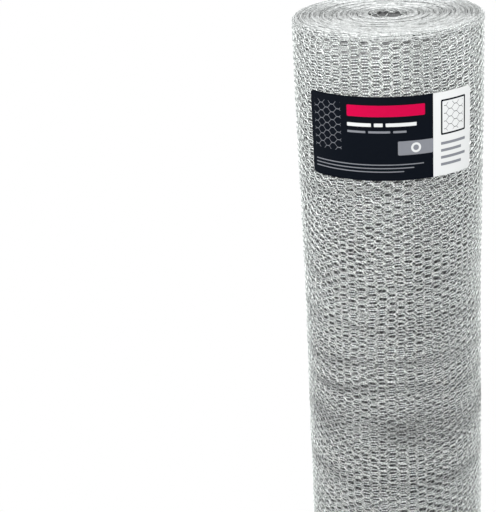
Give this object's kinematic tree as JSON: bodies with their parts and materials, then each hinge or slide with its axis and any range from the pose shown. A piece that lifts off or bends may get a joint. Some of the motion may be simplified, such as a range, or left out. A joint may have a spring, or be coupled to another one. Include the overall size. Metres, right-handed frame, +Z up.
{
  "type": "roll of hexagonal wire netting",
  "caption": "Roll of galvanised hexagonal wire netting, standing on its end, open along its axis, with a label wrapped round the front near the top.",
  "frame": {"origin": "centre of the bottom end of the roll, on its axis, on the floor it stands on", "axes": "+Z up along the roll's axis, -Y towards the front, where the label is centred"},
  "size_m": [0.2712, 0.2714, 1.5],
  "materials": {
    "galvanised_wire": "hot-dip galvanised, satin, pale zinc grey",
    "label_print": "coated card, satin, dark navy print with a white panel"
  },
  "bodies": {
    "root": {"netting_roll": "galvanised_wire", "label": "label_print"}
  },
  "joints": []
}
